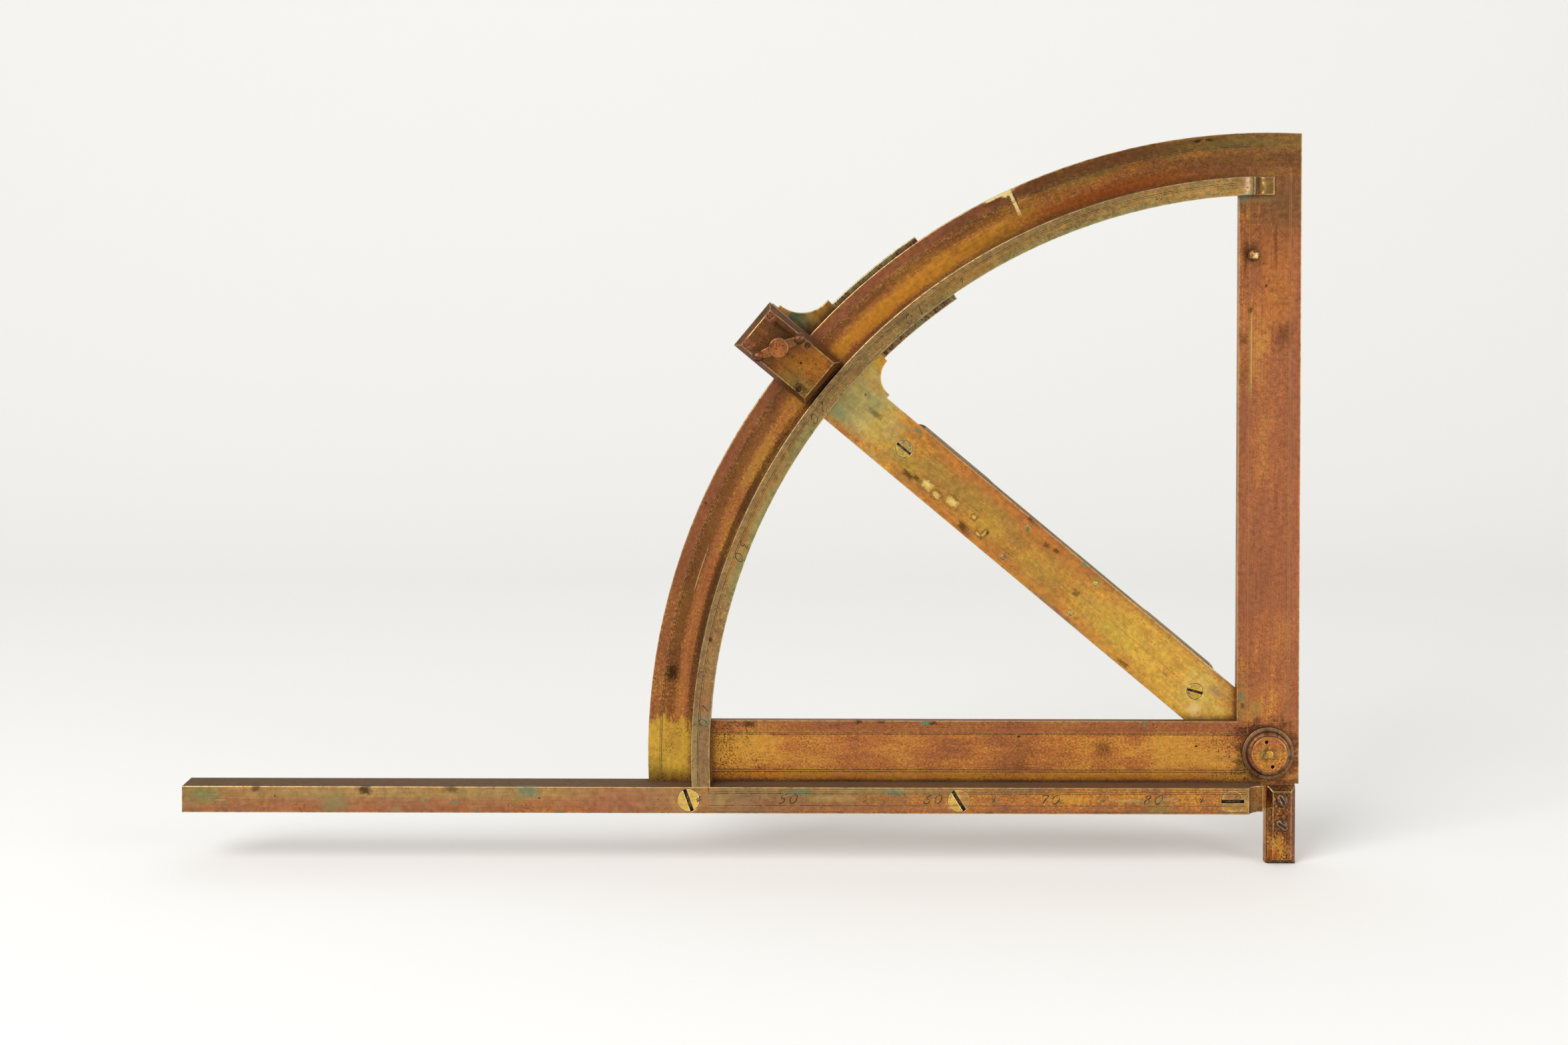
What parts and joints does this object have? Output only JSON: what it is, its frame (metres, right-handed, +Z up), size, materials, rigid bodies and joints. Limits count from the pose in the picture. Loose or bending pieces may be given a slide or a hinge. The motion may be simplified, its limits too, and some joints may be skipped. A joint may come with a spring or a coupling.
{
  "type": "gunners quadrant",
  "caption": "Brass gunner's quadrant: quadrant frame on a long bar, plumb scale rib, and a swinging index arm with spirit level, vernier and thumbscrew clamp.",
  "frame": {"origin": "centre of the bar's seat face: halfway along the bar's underside, halfway through its front part", "axes": "+X along the bar towards the pivot and foot, +Z up from the seat face, -Y out of the graduated front"},
  "size_m": [0.3186, 0.0408, 0.2095],
  "materials": {
    "frame_brass": "aged lacquer",
    "bar_brass": "aged lacquer",
    "rib_brass": "aged lacquer",
    "foot_brass": "aged lacquer",
    "bar_screw_brass": "aged lacquer",
    "foot_screw_brass": "aged lacquer",
    "peg_brass": "aged lacquer",
    "arm_brass": "aged lacquer",
    "vernier_brass": "aged lacquer",
    "small_screw_brass": "aged lacquer",
    "pivot_brass": "aged lacquer",
    "level_brass": "aged lacquer",
    "vial_glass": "clear",
    "vial_spirit": "clear",
    "vial_plaster": "matte",
    "clamp_brass": "aged lacquer",
    "shoe_brass": "aged lacquer",
    "thumbscrew_brass": "aged lacquer"
  },
  "bodies": {
    "frame": {"frame_plate": "frame_brass", "long_bar": "bar_brass", "bar_screws": "bar_screw_brass", "plumb_scale_rib": "rib_brass", "plumb_peg": "peg_brass", "foot_strip": "foot_brass", "foot_screws": "foot_screw_brass"},
    "arm": {"index_arm": "arm_brass", "vernier_plate": "vernier_brass", "vernier_screws": "small_screw_brass", "pivot_pin": "pivot_brass", "pivot_collar": "pivot_brass", "pivot_nut": "pivot_brass", "level_tube": "level_brass", "level_end_caps": "level_brass", "level_vial": "vial_glass", "level_spirit": "vial_spirit", "vial_packing": "vial_plaster", "level_feet": "level_brass", "level_screws": "small_screw_brass", "level_saddle": "level_brass", "saddle_rivets": "small_screw_brass", "clamp_box": "clamp_brass", "clamp_base": "clamp_brass", "clamp_block": "clamp_brass", "clamp_pins": "clamp_brass"},
    "shoe": {"clamp_shoe": "shoe_brass", "shoe_pin": "shoe_brass"},
    "thumbscrew": {"thumbscrew": "thumbscrew_brass"}
  },
  "joints": [
    {"name": "arm_swing", "type": "hinge", "parent": "frame", "child": "arm", "pos_m": [0.1559, 0.00515, 0.016], "axis": [0, 1, 0], "range_deg": [-39.7, 50.3]},
    {"name": "shoe_lift", "type": "slide", "parent": "arm", "child": "shoe", "axis": [0, -1, 0], "range_m": [0, 0.0007]},
    {"name": "thumbscrew_turn", "type": "hinge", "parent": "shoe", "child": "thumbscrew", "pos_m": [0.01533, -0.00635, 0.1327], "axis": [0, -1, 0], "range_deg": [0, 360]}
  ],
  "couplings": [
    {"joint": "thumbscrew_turn", "follows": "shoe_lift", "rad_per_m": 8976}
  ]
}
